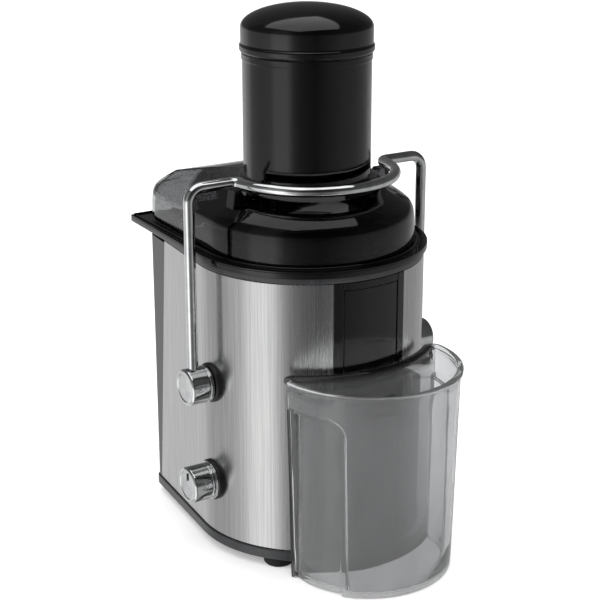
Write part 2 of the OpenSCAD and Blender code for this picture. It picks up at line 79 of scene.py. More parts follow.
def add_camera():
    camera = bpy.data.cameras.new("camera")
    camera.sensor_width = 36
    camera.lens = CAMERA_LENS
    camera.shift_x = CAMERA_SHIFT
    camera.clip_start = 0.01
    holder = bpy.data.objects.new("camera", camera)
    holder.location = (SPINDLE_X + CAMERA_REACH * sin(CAMERA_AZIMUTH),
                       -CAMERA_REACH * cos(CAMERA_AZIMUTH), CAMERA_HEIGHT)
    holder.rotation_euler = (pi / 2 - CAMERA_PITCH, 0, CAMERA_AZIMUTH)
    bpy.context.scene.collection.objects.link(holder)
    bpy.context.scene.camera = holder


add_camera()

# ---------- material helpers ----------


def colour(hex_code, alpha=1.0):
    """sRGB hex to the linear values that shaders take."""
    parts = [int(hex_code[i:i + 2], 16) / 255 for i in (1, 3, 5)]
    linear = [p / 12.92 if p <= 0.04045 else ((p + 0.055) / 1.055) ** 2.4 for p in parts]
    return (*linear, alpha)


def add(tree, kind, settings, links):
    """Adds a node. Settings go to its sockets or properties, and links join its inputs."""
    node = tree.nodes.new(kind)
    for key, value in settings.items():
        if isinstance(key, int) or key in node.inputs:
            node.inputs[key].default_value = value
        else:
            setattr(node, key, value)
    for key, source in links.items():
        tree.links.new(source, node.inputs[key])
    return node


# Half the width in millimetres over which the painted shade, a darker tone painted near the
# spindle, fades out.
PAINTED_SHADE_FADE = 2


def finish(name, shader, tones, rough, cloud, grain, depth_mm, cloud_stretch=(1, 1, 1),
           grain_stretch=(1, 1, 1), cloud_range=(0.35, 0.65), rough_follows="cloud", strength=0.5,
           painted_shade=None):
    """A material in three layers: a cloud pattern between two shades, a roughness that wanders
    between two values, and a grain that raises the surface by depth_mm. A pattern is the width
    of its lumps in millimetres with their detail, or another texture with its settings. The last
    argument gives a darker tone, painted over the colour near the spindle as shade, and how far
    from the spindle it reaches, in millimetres."""
    material = bpy.data.materials.new(name)
    material.use_nodes = True
    tree = material.node_tree
    tree.nodes.clear()
    place = add(tree, "ShaderNodeTexCoord", {}, {}).outputs["Object"]
    patterns = {}
    for key, pattern, stretch in (("cloud", cloud, cloud_stretch),
                                  ("grain", grain, grain_stretch)):
        kind, settings = pattern
        if not isinstance(kind, str):
            settings = {"Scale": 1 / (kind * MM), "Detail": settings, "Roughness": 0.6}
            kind = "ShaderNodeTexNoise"
        drawn = add(tree, "ShaderNodeMapping", {"Scale": [1 / s for s in stretch]},
                    {"Vector": place}).outputs[0]
        made = add(tree, kind, settings, {"Vector": drawn})
        patterns[key] = made.outputs.get("Fac") or made.outputs[0]
    ramp = add(tree, "ShaderNodeValToRGB", {}, {"Fac": patterns["cloud"]})
    for stop, where, tone in zip(ramp.color_ramp.elements, cloud_range, tones):
        stop.position = where
        stop.color = colour(tone)
    shade = ramp.outputs[0]
    # Painted shade: a darker tone painted into the colour near the spindle, where the part lies in
    # shade.
    if painted_shade:
        tone, reach = painted_shade
        apart = add(tree, "ShaderNodeVectorMath", {"operation": "MULTIPLY_ADD", 1: (1, 1, 0),
                                                   2: (-SPINDLE_X, 0, 0)}, {0: place})
        away = add(tree, "ShaderNodeVectorMath", {"operation": "LENGTH"}, {0: apart.outputs[0]})
        near = add(tree, "ShaderNodeMapRange", {"From Min": (reach - PAINTED_SHADE_FADE) * MM,
                                                "From Max": (reach + PAINTED_SHADE_FADE) * MM,
                                                "To Min": 1.0, "To Max": 0.0},
                   {"Value": away.outputs["Value"]})
        shade = add(tree, "ShaderNodeMixRGB", {"Color2": colour(tone)},
                    {"Fac": near.outputs[0], "Color1": shade}).outputs[0]
    dull = add(tree, "ShaderNodeMapRange",
               {"From Min": 0.3, "From Max": 0.7, "To Min": rough[0], "To Max": rough[1]},
               {"Value": patterns[rough_follows]})
    relief = add(tree, "ShaderNodeBump", {"Strength": strength, "Distance": depth_mm * MM},
                 {"Height": patterns["grain"]})
    surface = add(tree, "ShaderNodeBsdfPrincipled", shader,
                  {"Base Color": shade, "Roughness": dull.outputs[0],
                   "Normal": relief.outputs[0]})
    add(tree, "ShaderNodeOutputMaterial", {}, {"Surface": surface.outputs[0]})
    return material


# ---------- materials ----------

ABS = {"IOR": 1.53}
METAL = {"Metallic": 1.0}
SAN = {"IOR": 1.45, "Transmission Weight": 1.0}
RUBBER = {"IOR": 1.5}
NYLON = {"IOR": 1.53}

FINISH = {
    # ABS from a polished mould: deep reflections, faint smears where hands have been.
    "gloss_black": finish("gloss_black_abs", ABS, ("#030304", "#070708"), (0.06, 0.13),
                          (18, 4), (2.6, 3), 0.012, cloud_stretch=(1, 1, 2.5),
                          strength=0.35),
    # ABS from a spark-eroded mould: an even fine grain that breaks up the shine. The grain is
    # drawn twice as coarse as a real one so that it shows.
    "satin_black": finish("satin_black_abs", ABS, ("#0b0b0c", "#141416"), (0.36, 0.5),
                          (14, 4), (0.5, 3), 0.03),
    # The same mould finish in grey: the parting bands above and below the steel.
    "dark_grey": finish("dark_grey_abs", ABS, ("#2a2b2d", "#37383a"), (0.28, 0.4),
                        (14, 4), (0.5, 3), 0.02),
    # Stainless sheet brushed along its height: fine upright scratches, soft drawn-out shine.
    # The scratches are drawn about twice as wide as real ones so that they show.
    "brushed_skin": finish("brushed_stainless", METAL | {"Anisotropic": 0.55,
                                                         "Anisotropic Rotation": 0.25},
                           ("#b2b3b3", "#c6c6c5"), (0.22, 0.32), (0.7, 2), (0.45, 2),
                           0.008, cloud_stretch=(1, 1, 90), grain_stretch=(1, 1, 130),
                           rough_follows="grain", strength=0.2),
    # Bright chrome on polished steel: mirror shine with a faint polishing haze.
    "chrome": finish("chrome_plate", METAL, ("#d6d7d9", "#eceded"), (0.04, 0.1), (9, 4),
                     (1.6, 3), 0.006, strength=0.25),
    # Clear smoked SAN: shines like glass and darkens what lies behind it.
    # Over the basket its colour is painted darker, as painted shade from the dark insides below.
    "smoky_lid": finish("smoked_lid_san", SAN | {"Specular IOR Level": 0.2},
                        ("#9fa0a1", "#aaabac"), (0.015, 0.05), (25, 3), (5, 3), 0.01,
                        cloud_stretch=(1, 1, 2), strength=0.25, painted_shade=("#3c3c3e", 78)),
    # The same resin, less smoky: the container shows its floor and far wall. Its hollow
    # wall, next to the body, is painted darker as painted shade, where the body shades it.
    "smoky_cup": finish("smoked_cup_san", SAN | {"Transmission Weight": 0.89},
                        ("#cbcccd", "#d5d6d7"), (0.015, 0.04),
                        (25, 3), (5, 3), 0.01, cloud_stretch=(1, 1, 2), strength=0.25,
                        painted_shade=("#2e2e30", 86)),
    # Moulded rubber: dull black with a dusty bloom.
    "foot_rubber": finish("foot_rubber", RUBBER, ("#0e0e0f", "#1b1b1c"), (0.65, 0.9),
                          (4, 5), (0.8, 3), 0.05),
    # Silicone seal: dull pale grey.
    "seal_rubber": finish("grey_silicone", RUBBER, ("#4b4d4f", "#66686a"), (0.5, 0.75),
                          (6, 4), (0.9, 3), 0.03),
    # Die-cast aluminium: a sandy skin that scatters the light.
    "cast_alloy": finish("die_cast_aluminium", METAL, ("#8b8d8f", "#a9abac"), (0.42, 0.6),
                         (5, 4), (1.2, 3), 0.06),
    # Ground steel: fine turning marks round the axis.
    "bearing_steel": finish("ground_steel", METAL, ("#b2b3b5", "#d3d4d5"), (0.15, 0.27),
                            (3, 3), (0.4, 3), 0.01, grain_stretch=(6, 6, 1)),
    # Zinc-plated steel screws: soft grey shine, slightly mottled.
    "screw_steel": finish("zinc_plated_steel", METAL, ("#8d9094", "#b3b5b6"), (0.26, 0.45),
                          (2.2, 4), (0.8, 3), 0.015),
    # Varnished electrical steel in half-millimetre sheets: fine level lines.
    "lamination": finish("stacked_laminations", {"Metallic": 0.85}, ("#2c2d2f", "#6a6b6d"),
                         (0.35, 0.6), ("ShaderNodeTexWave", {"bands_direction": "Z",
                                                             "Scale": 318.0,
                                                             "Distortion": 0.4}),
                         (6, 3), 0.05, cloud_range=(0.2, 0.8), rough_follows="grain"),
    # Enamelled winding wire, 0.8 mm thick: brown-red strands.
    "copper": finish("enamelled_copper", METAL, ("#8a431c", "#b8653a"), (0.2, 0.36),
                     (0.8, 2), (0.8, 2), 0.2, cloud_stretch=(12, 1, 1),
                     grain_stretch=(12, 1, 1)),
    # Pressed brass: warm and slightly dull.
    "brush_brass": finish("pressed_brass", METAL, ("#8f7436", "#b39550"), (0.26, 0.42),
                          (3, 4), (0.8, 3), 0.015),
    # Pressed carbon: dull black, powdery.
    "carbon": finish("pressed_carbon", RUBBER, ("#161617", "#2a2a2b"), (0.55, 0.8),
                     (1.2, 5), (0.4, 3), 0.03),
    # Filled nylon, moulded: dull grey with faint flow marks.
    "switch_plastic": finish("grey_nylon", NYLON, ("#26272b", "#33353a"), (0.42, 0.58),
                             (7, 4), (0.6, 3), 0.02),
    "switch_red": finish("red_nylon", NYLON, ("#4c1416", "#651b1e"), (0.42, 0.58),
                         (5, 4), (0.6, 3), 0.02),
    "ivory_plastic": finish("ivory_nylon", NYLON, ("#b9b4a4", "#cfcabb"), (0.38, 0.52),
                            (6, 4), (0.6, 3), 0.02),
    # Stainless foil with etched pinholes 0.9 mm apart: a dark dotted sieve.
    "basket_steel": finish("etched_sieve", METAL, ("#17181a", "#c9cacb"), (0.22, 0.38),
                           ("ShaderNodeTexVoronoi", {"Scale": 1111.0, "Randomness": 0.15}),
                           (8, 3), 0.03, cloud_range=(0.22, 0.3), rough_follows="grain"),
}
# Polished stainless: the solid rim and cutting disc of the basket.
POLISHED_STEEL = finish("polished_basket_steel", METAL, ("#b9babb", "#d8d9d9"), (0.12, 0.22),
                        (9, 4), (0.5, 3), 0.008, grain_stretch=(1, 1, 8))

# ---------- mesh helpers ----------


def place_mesh(name, points, faces, node, sharp=38, bevel_mm=0.0, material=None, hides=True):
    """Makes a piece from points in millimetres. It takes the body and the finish of a CAD node."""
    mesh = bpy.data.meshes.new(name)
    mesh.from_pydata([(SPINDLE_X + x * MM, y * MM, z * MM) for x, y, z in points], [], faces)
    form = bmesh.new()
    form.from_mesh(mesh)
    bmesh.ops.remove_doubles(form, verts=form.verts, dist=1e-6)
    bmesh.ops.recalc_face_normals(form, faces=form.faces)
    form.to_mesh(mesh)
    form.free()
    mesh.shade_smooth()
    mesh.set_sharp_from_angle(angle=radians(sharp))
    piece = bpy.data.objects.new(name, mesh)
    bpy.context.scene.collection.objects.link(piece)
    if bevel_mm:
        bevel = piece.modifiers.new("edges", "BEVEL")
        bevel.width = bevel_mm * MM
        bevel.segments = 3
        bevel.limit_method = "ANGLE"
        bevel.angle_limit = radians(sharp)
        bevel.harden_normals = True
    slot_name = SLOT_OF[node]
    mesh.materials.append(material or FINISH[slot_name])
    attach(piece, BODY_OF[node])
    if hides:
        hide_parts(node)


def sweep(rings, around=True, along=False):
    """Points and faces of a skin over rings of equal length. around closes each ring; along
    joins the last ring to the first. Open ends are closed with flat faces."""
    count = len(rings[0])
    points = [p for ring in rings for p in ring]
    faces = []
    for i in range(len(rings) if along else len(rings) - 1):
        here, there = i * count, (i + 1) % len(rings) * count
        for j in range(count if around else count - 1):
            k = (j + 1) % count
            faces.append((here + j, here + k, there + k, there + j))
    if not around:
        faces.append([i * count for i in range(len(rings))])
        faces.append([i * count + count - 1 for i in range(len(rings))])
    if not along:
        faces.append(list(range(count)))
        faces.append([(len(rings) - 1) * count + j for j in range(count)])
    return points, faces


def rounded(profile, radius, closed=True, steps=4):
    """Replaces the corners of a profile by small curves. A point close to each end of a curve
    keeps the straight parts flat when the skin is shaded smooth."""
    result = []
    count = len(profile)
    for i, corner in enumerate(profile):
        if not closed and i in (0, count - 1):
            result.append(tuple(corner))
            continue
        here = Vector(corner)
        before = Vector(profile[i - 1]) - here
        after = Vector(profile[(i + 1) % count]) - here
        start = here + before.normalized() * min(radius, before.length * 0.45)
        end = here + after.normalized() * min(radius, after.length * 0.45)
        result.append(tuple(start + (start - here) * 0.1))
        for s in range(steps + 1):
            t = s / steps
            result.append(tuple(start.lerp(here, t).lerp(here.lerp(end, t), t)))
        result.append(tuple(end + (end - here) * 0.1))
    return result


def arc(cx, cy, r, start, end, steps):
    """Points on a circle from one angle in degrees to another."""
    return [(cx + r * cos(radians(start + (end - start) * i / steps)),
             cy + r * sin(radians(start + (end - start) * i / steps)))
            for i in range(steps + 1)]


def line(start, end, steps):
    """Points inside a straight stretch, without its ends."""
    return [(start[0] + (end[0] - start[0]) * i / steps, start[1] + (end[1] - start[1]) * i / steps)
            for i in range(1, steps)]


def side_angle(r, rear, half, rc):
    """Direction of the outward normal on the straight sides of a plan outline, in degrees."""
    return degrees(atan2(half - rc, rc - rear)) - degrees(
        acos((r - rc) / hypot(rear - rc, half - rc)))


def outline(r, rear, half, rc, inset=0.0):
    """Plan outline with a round nose, straight sides and a flat rear end, moved in by inset."""
    a = side_angle(r, rear, half, rc)
    cx, cy = rc - rear, half - rc
    corner = max(rc - inset, 0.4)
    nose = arc(0, 0, r - inset, -a, a, 60)
    left = arc(cx, cy, corner, a, 180, 10)
    right = arc(cx, -cy, corner, 180, 360 - a, 10)
    return (nose + line(nose[-1], left[0], 14) + left + line(left[-1], right[0], 14) + right
            + line(right[-1], nose[0], 14))


def circle(r, count=96):
    """Evenly spaced points on a circle about the spindle."""
    return arc(0, 0, r, 0, 360 - 360 / count, count - 1)


def lathe(profile, count=96):
    """Points and faces of a profile of (radius, height) turned about the spindle. Where the
    profile starts or ends on the spindle the skin closes to a point."""
    rings = [[(x, y, z) for x, y in circle(max(r, 0.001), count)] for r, z in profile]
    return sweep(rings)


def lathe_ring(profile, count=96):
    """The same for a closed profile that stays away from the spindle."""
    rings = [[(x, y, z) for x, y in circle(r, count)] for r, z in profile]
    return sweep(rings, along=True)


def turned_to_side(points, x, z, side):
    """Moves points that were turned about the spindle onto an axis along Y, outwards."""
    return [(x + px, side * pz, z + (py if side > 0 else -py)) for px, py, pz in points]


SLOT_OF = {s["node"]: s["material_slot"] for s in frame["record"]["subparts"]}
BODY_OF = {n: b for b, names in frame["record"]["behaviour"]["bodies"].items() for n in names}

# ---------- sizes: read from the frame, or the same as in the CAD ----------

# Body: its plan outline, the steel sheet, the sheet's sloping rear edge and the nose plates.
BODY_R = -low("steel_front").y
BODY_REAR = -low("pulp_bin").x
BODY_HALF = 66.0
BODY_CORNER = 7.0
SHEET = 0.7
STEEL_LOW = low("steel_front").z
STEEL_TOP = high("steel_front").z
STEEL_REAR_TOP = 69.7
REAR_TILT = radians(6)
COLUMN_HALF = degrees(asin(high("nose_column").y / BODY_R))
PANEL_HALF = 14.9
# Flange of the collector.
FLANGE_LOW = high("top_trim").z + 0.3
FLANGE_TOP = FLANGE_LOW + 4
FLANGE_R = high("collector").y
LIP_REAR = -low("collector").x
FLANGE_HALF = 71.4
FLANGE_CORNER = 2.2
# Lid: its plan outline and the feed tube.
LID_R = high("lid").y
LID_REAR = -low("lid").x
LID_HALF = 66.0
LID_CORNER = 18.0
TUBE_R = 41.0
TUBE_BORE = 38.5
TUBE_TOP = high("lid").z
THROAT_LOW = 183.2
LID_WALL = 2.2
LID_FOOT = FLANGE_TOP + 0.3
# Crown of the lid, from its foot up: how far in, and how high above the foot.
CROWN = ((0, 0), (0.3, 14), (1, 20.5), (2.8, 24.2), (6, 26.8), (11, 30.2), (17, 33.6))
CROWN_IN = 17
CROWN_TOP = LID_FOOT + 33.5
TUBE_ROOT = LID_FOOT + 41
# Cap of the pusher.
CAP_LOW = low("pusher_cap").z
CAP_TOP = high("pusher_cap").z
CAP_DOME = 14.5
# Bail, knobs and the collars under them.
AXIS_X = (low("bail_knobs").x + high("bail_knobs").x) / 2
PIVOT_Z = (low("bail_knobs").z + high("bail_knobs").z) / 2
SPEED_Z = (low("speed_knob").z + high("speed_knob").z) / 2
KNOB_R = high("bail_knobs").z - PIVOT_Z
KNOB_FACE = high("bail_knobs").y
KNOB_BASE = 79.0
COLLAR_BASE = 73.5
WIRE_R = 3.5
LEG_Y = high("bail_wire").y - WIRE_R
BOW_Z = high("bail_wire").z - WIRE_R
BOW_R = high("bail_wire").x - AXIS_X - WIRE_R
# Juice container.
CUP_H = high("juice_container").z
CUP_R = high("juice_container").y
CUP_X = high("juice_container").x - CUP_R


def body(inset):
    """The body's plan outline."""
    return outline(BODY_R, BODY_REAR, BODY_HALF, BODY_CORNER, inset)


def band(outline_at, profile):
    """A closed profile of (inset, height) carried round an outline."""
    return sweep([[(x, y, z) for x, y in outline_at(inset)] for inset, z in profile], along=True)


# ---------- body ----------


def steel_edge(z):
    """Distance of the steel's sloping rear edge from the spindle at a height."""
    return -STEEL_REAR_TOP - (STEEL_TOP - z) * tan(REAR_TILT)


def skin_path(inset, z, side):
    """The steel's line from the nose column to its rear edge."""
    a = side_angle(BODY_R, BODY_REAR, BODY_HALF, BODY_CORNER)
    path = arc(0, 0, BODY_R - inset, COLUMN_HALF + 0.15, a, 40)
    slope = tan(radians(a - 90))
    x0, y0 = path[-1]
    rear = steel_edge(z)
    path += line((x0, y0), (rear, y0 + slope * (rear - x0)), 10)
    path.append((rear, y0 + slope * (rear - x0)))
    return [(x, side * y, z) for x, y in path]


def add_steel_skin():
    profile = rounded([(0, STEEL_LOW), (0, STEEL_TOP), (SHEET, STEEL_TOP), (SHEET, STEEL_LOW)],
                      0.3)
    for side, node in ((-1, "steel_front"), (1, "steel_back")):
        rings = [skin_path(inset, z, side) for inset, z in profile]
        points, faces = sweep(rings, around=False, along=True)
        place_mesh(node + "_sheet", points, faces, node)


def add_base_skirt():
    bottom, top = low("base_trim").z, high("base_trim").z
    profile = rounded([(-1, bottom), (-1, top), (1.3, top), (1.3, bottom)], 0.9)
    place_mesh("base_skirt", *band(body, profile), "base_trim")


def add_top_band():
    bottom, top = low("top_trim").z, high("top_trim").z
    profile = rounded([(0.1, bottom), (-0.3, bottom + 1), (-0.3, top - 0.4), (0.4, top),
                       (3, top), (3, bottom)], 0.35)
    place_mesh("top_band", *band(body, profile), "top_trim")


def plate_on_nose(name, outer, start, end, steps, bottom, top, edge):
    """A curved plate on the nose with rounded edges, from one angle to another."""
    inner = BODY_R - SHEET
    profile = [(inner, bottom), (outer, bottom), (outer, top), (inner, top)]
    rings = [[(x, y, z) for x, y in arc(0, 0, r, start, end, steps)] for r, z in profile]
    points, faces = sweep(rings, around=False, along=True)
    place_mesh(name, points, faces, "nose_column", bevel_mm=edge)


def add_nose():
    inside = PANEL_HALF + 0.9
    across = PANEL_HALF + 0.6
    bottom, top = low("nose_column").z, high("nose_column").z
    raised, level = BODY_R + 0.1, BODY_R + 0.05
    plate_on_nose("nose_strip_front", raised, -COLUMN_HALF, -inside, 6, bottom, top, 0.35)
    plate_on_nose("nose_strip_back", raised, inside, COLUMN_HALF, 6, bottom, top, 0.35)
    plate_on_nose("nose_foot", level, -across, across, 24, bottom, bottom + 5, 0.3)
    plate_on_nose("nose_head", level, -across, across, 24, top - 4.6, top, 0.3)


def add_collector_edge():
    """The flange's rounded outer edge, laid over the tray's own edge."""
    def flange(inset):
        return outline(FLANGE_R - 0.1, LIP_REAR - 0.1, FLANGE_HALF, FLANGE_CORNER, inset)

    bottom, top = FLANGE_LOW - 0.15, FLANGE_TOP + 0.15
    profile = rounded([(-0.2, bottom), (-0.2, top), (6, top), (6, bottom)], 1.3)
    place_mesh("flange_edge", *band(flange, profile), "collector", hides=False)
    profile = rounded([(6, FLANGE_TOP), (6.4, FLANGE_TOP + 1.1), (7.4, FLANGE_TOP + 1.1),
                       (7.8, FLANGE_TOP)], 0.4)
    place_mesh("flange_rib", *band(flange, profile), "collector", hides=False)


# ---------- lid and pusher ----------


def crown_ring(inset, z, blend=0.0, r_end=TUBE_R):
    """A ring of the lid: the lid's outline moved in by inset, drawn towards the tube's circle."""
    ring = []
    for x, y in outline(LID_R, LID_REAR, LID_HALF, LID_CORNER, inset):
        a = atan2(y, x)
        ring.append((x + (r_end * cos(a) - x) * blend, y + (r_end * sin(a) - y) * blend, z))
    return ring


def add_lid():
    crown = rounded([(inset, LID_FOOT + z) for inset, z in CROWN], 2, closed=False)
    rings = [crown_ring(inset, z) for inset, z in crown]
    rise = TUBE_ROOT - CROWN_TOP
    for t in (0.25, 0.5, 0.75, 0.92):
        rings.append(crown_ring(CROWN_IN, CROWN_TOP + rise * sin(t * pi / 2), t, TUBE_R + 3))
    tube = rounded([(TUBE_R + 3, TUBE_ROOT), (TUBE_R + 3, TUBE_ROOT + 1.8),
                    (TUBE_R, TUBE_ROOT + 2), (TUBE_R, TUBE_TOP - 4.4),
                    (TUBE_R + 0.5, TUBE_TOP - 4.1), (TUBE_R + 0.5, TUBE_TOP),
                    (TUBE_BORE, TUBE_TOP), (TUBE_BORE, THROAT_LOW), (TUBE_R, THROAT_LOW),
                    (TUBE_R, TUBE_ROOT - LID_WALL - 2)], 0.6, closed=False, steps=3)
    rings += [crown_ring(CROWN_IN, z, 1.0, r) for r, z in tube]
    for t in (0.75, 0.5, 0.25):
        z = CROWN_TOP - LID_WALL + rise * sin(t * pi / 2)
        rings.append(crown_ring(CROWN_IN, z, t, TUBE_R + 1))
    for inset, z in reversed(crown):
        rings.append(crown_ring(inset + LID_WALL, max(z - LID_WALL, LID_FOOT)))
    place_mesh("smoked_lid", *sweep(rings, along=True), "lid", sharp=50)
    add_lug(-1, "front")
    add_lug(1, "back")


def add_lug(side, word):
    """A lug of the lid under the bail's arm."""
    top = BOW_Z - WIRE_R - 0.6
    bottom = LID_FOOT + 20
    flank = [(50.5, bottom), (50.5, top - 1.5), (52, top), (58.5, top), (61.9, bottom)]
    rings = [[(x, side * y, z) for y, z in flank] for x in (AXIS_X - 4, AXIS_X + 5)]
    points, faces = sweep(rings)
    place_mesh("lid_lug_" + word, points, faces, "lid", bevel_mm=0.7)


def add_pusher():
    r = high("pusher_body").y
    bottom = low("pusher_body").z
    inside = r - 2
    cup = rounded([(0, bottom), (r - 3, bottom), (r, bottom + 3), (r, CAP_LOW + 1),
                   (inside, CAP_LOW + 1), (inside, bottom + 5), (0, bottom + 4)], 1.5,
                  closed=False)
    place_mesh("pusher_cup", *lathe(cup), "pusher_body", sharp=50)
    edge = high("pusher_cap").y
    grip = edge - 0.9
    shoulder = CAP_TOP - CAP_DOME
    cap = rounded([(0, CAP_LOW), (edge - 1, CAP_LOW), (edge, CAP_LOW + 1.4),
                   (edge, CAP_LOW + 4.4), (grip, CAP_LOW + 5.6), (grip, shoulder)], 0.6,
                  closed=False)
    for a in range(4, 91, 4):
        cap.append((grip * cos(radians(a)), shoulder + CAP_DOME * sin(radians(a))))
    cap.append((0, CAP_TOP))
    place_mesh("pusher_grip", *lathe(cap, 128), "pusher_cap", sharp=60)


# ---------- bail and knobs ----------


def bail_line():
    """Middle line of the bail from the front leg to the back leg."""
    corner, kink = 9.0, 6.0
    kink_y = sqrt((BOW_R + kink) ** 2 - kink ** 2)
    kink_a = degrees(atan2(kink_y, kink))
    half = [(AXIS_X, -LEG_Y, PIVOT_Z + 4), (AXIS_X, -LEG_Y, PIVOT_Z + 60)]
    half += [(AXIS_X, y, z) for y, z in arc(-LEG_Y + corner, BOW_Z - corner, corner, 180, 90, 10)]
    half += [(AXIS_X + x, y, BOW_Z) for x, y in arc(kink, -kink_y, kink, 180, 180 - kink_a, 8)]
    bow = [(AXIS_X + x, y, BOW_Z) for x, y in arc(0, 0, BOW_R, -kink_a, 0, 24)]
    half += bow[1:]
    return half + [(x, -y, z) for x, y, z in reversed(half[:-1])]


def add_bail():
    line_points = [Vector(p) for p in bail_line()]
    across = Vector((1, 0, 0))
    rings = []
    for i, here in enumerate(line_points):
        before = line_points[max(i - 1, 0)]
        after = line_points[min(i + 1, len(line_points) - 1)]
        along = (after - before).normalized()
        across = (across - along * across.dot(along)).normalized()
        other = along.cross(across)
        rings.append([tuple(here + WIRE_R * (cos(a) * across + sin(a) * other))
                      for a in (2 * pi * j / 24 for j in range(24))])
    place_mesh("bail_bow", *sweep(rings), "bail_wire", sharp=60)


def knob_profile(base, face):
    """A turned knob: a shallow groove near the base and a rounded rim round a dished face."""
    r = KNOB_R
    return [(0, base), (r - 0.8, base), (r, base + 0.8), (r, base + 2.4), (r - 0.5, base + 2.7),
            (r - 0.5, base + 3.3), (r, base + 3.6), (r, face - 1.1), (r - 1.1, face),
            (r - 2.4, face), (r - 2.9, face - 0.5), (0, face - 0.7)]


def add_knobs():
    profile = rounded(knob_profile(KNOB_BASE, KNOB_FACE), 0.35, closed=False, steps=2)
    for side, word in ((-1, "front"), (1, "back")):
        points, faces = lathe(profile, 64)
        place_mesh("bail_knob_" + word, turned_to_side(points, AXIS_X, PIVOT_Z, side), faces,
                   "bail_knobs", sharp=50)
    points, faces = lathe(profile, 64)
    place_mesh("speed_dial", turned_to_side(points, AXIS_X, SPEED_Z, -1), faces, "speed_knob",
               sharp=50)
    mark = ((-0.5, 3.2), (0.5, 3.2), (0.5, 8.2), (-0.5, 8.2))
    rings = [[(AXIS_X + x, -y, SPEED_Z + z) for x, z in mark]
             for y in (KNOB_FACE - 0.3, KNOB_FACE + 0.05)]
    place_mesh("dial_mark", *sweep(rings), "speed_knob", material=FINISH["satin_black"])
    for z, node, names in ((PIVOT_Z, "pivot_rings", ("front", "back")),
                           (SPEED_Z, "speed_knob_base", ("front",))):
        wide = high(node).z - z
        collar = rounded([(7.2, COLLAR_BASE), (wide, COLLAR_BASE), (wide + 0.2, 77.4),
                          (wide - 0.8, 78.5), (7.2, 78.6)], 0.6)
        for word in names:
            side = -1 if word == "front" else 1
            points, faces = lathe_ring(collar, 64)
            place_mesh(node + "_" + word, turned_to_side(points, AXIS_X, z, side), faces, node)
    ring = rounded([(KNOB_R - 1, 78.4), (KNOB_R + 0.7, 78.4), (KNOB_R + 0.7, 79.3),
                    (KNOB_R - 1, 79.3)], 0.3)
    points, faces = lathe_ring(ring, 64)
    place_mesh("dial_trim_ring", turned_to_side(points, AXIS_X, SPEED_Z, -1), faces,
               "speed_knob_base", material=FINISH["chrome"])


# ---------- juice container ----------

# The gap to the body, the round tips, how much wider the wall is at the top than at the foot,
# the wall, how far the rim stands out, and the middle that the wall flares from.
CUP_GAP = 3.6
CUP_TIP = 7.0
CUP_FLARE = 0.06
CUP_WALL = 2.0
CUP_INSET = 4.5
CUP_MIDDLE = 80
# The recess for the fingers on each flank: where it faces, how wide and high it reaches, how
# round its corner is, and the circle that its floor lies on.
GRIP_FACES = radians(84)
GRIP_REACH = 30
GRIP_TOP = 106
GRIP_CORNER = 10.0
GRIP_EDGE = 1.6
GRIP_CENTRE = (CUP_X + 2, 5)
GRIP_FLOOR_R = 47


def cup_outline(inset, count=360):
    """Evenly spaced points of the container's plan, moved in by inset."""
    far, near = CUP_R - CUP_TIP, BODY_R + CUP_GAP + CUP_TIP
    tx = (near ** 2 - far ** 2 + CUP_X ** 2) / (2 * CUP_X)
    ty = sqrt(near ** 2 - tx ** 2)
    outer = degrees(atan2(ty, tx - CUP_X))
    inner = degrees(atan2(ty, tx))
    tip = CUP_TIP - inset
    path = arc(CUP_X, 0, CUP_R - inset, -outer, outer, 240)
    path += arc(tx, ty, tip, outer, 180 + inner, 24)[1:]
    path += arc(0, 0, BODY_R + CUP_GAP + inset, inner, -inner, 120)[1:]
    path += arc(tx, -ty, tip, 180 - inner, 360 - outer, 24)[1:-1]
    steps = [hypot(b[0] - a[0], b[1] - a[1]) for a, b in zip(path, path[1:] + path[:1])]
    total, result, walked, i = sum(steps), [], 0.0, 0
    for k in range(count):
        while walked + steps[i] < total * k / count:
            walked += steps[i]
            i += 1
        t = (total * k / count - walked) / steps[i]
        a, b = path[i], path[(i + 1) % len(path)]
        result.append((a[0] + (b[0] - a[0]) * t, a[1] + (b[1] - a[1]) * t))
    return result


def soft_step(value, edge, width):
    """Rises smoothly from 0 to 1 over a width around an edge."""
    t = min(max((value - edge) / width + 0.5, 0.0), 1.0)
    return t * t * (3 - 2 * t)


def grip_depth(x, y, z, grow):
    """How far a point of the wall is drawn into the grip recess, from 0 to 1."""
    side = 1 if y > 0 else -1
    turn = GRIP_FACES * side
    along = -(x - CUP_X) * sin(turn) + y * cos(turn)
    across = -along * side
    corner_x = max(across - (GRIP_REACH + grow - GRIP_CORNER), 0.0)
    corner_z = max(z - (GRIP_TOP + grow), 0.0)
    return 1.0 - soft_step(hypot(corner_x, corner_z), GRIP_CORNER, GRIP_EDGE)


def cup_ring(inset, z):
    """One ring of the container's wall, with its grip recesses."""
    spread_out = 1 + CUP_FLARE * z / (CUP_H - 2)
    ring = []
    for x, y in cup_outline(CUP_INSET + inset):
        x, y = CUP_MIDDLE + (x - CUP_MIDDLE) * spread_out, y * spread_out
        if hypot(x, y) > BODY_R + CUP_GAP + CUP_INSET + inset + 3:
            side = 1 if y > 0 else -1
            dx, dy = x - GRIP_CENTRE[0], y - GRIP_CENTRE[1] * side
            reach = hypot(dx, dy)
            limit = GRIP_FLOOR_R - inset
            if reach > limit:
                pull = grip_depth(x, y, z, inset) * (reach - limit) / reach
                x, y = x - dx * pull, y - dy * pull
        ring.append((x, y, z))
    return ring


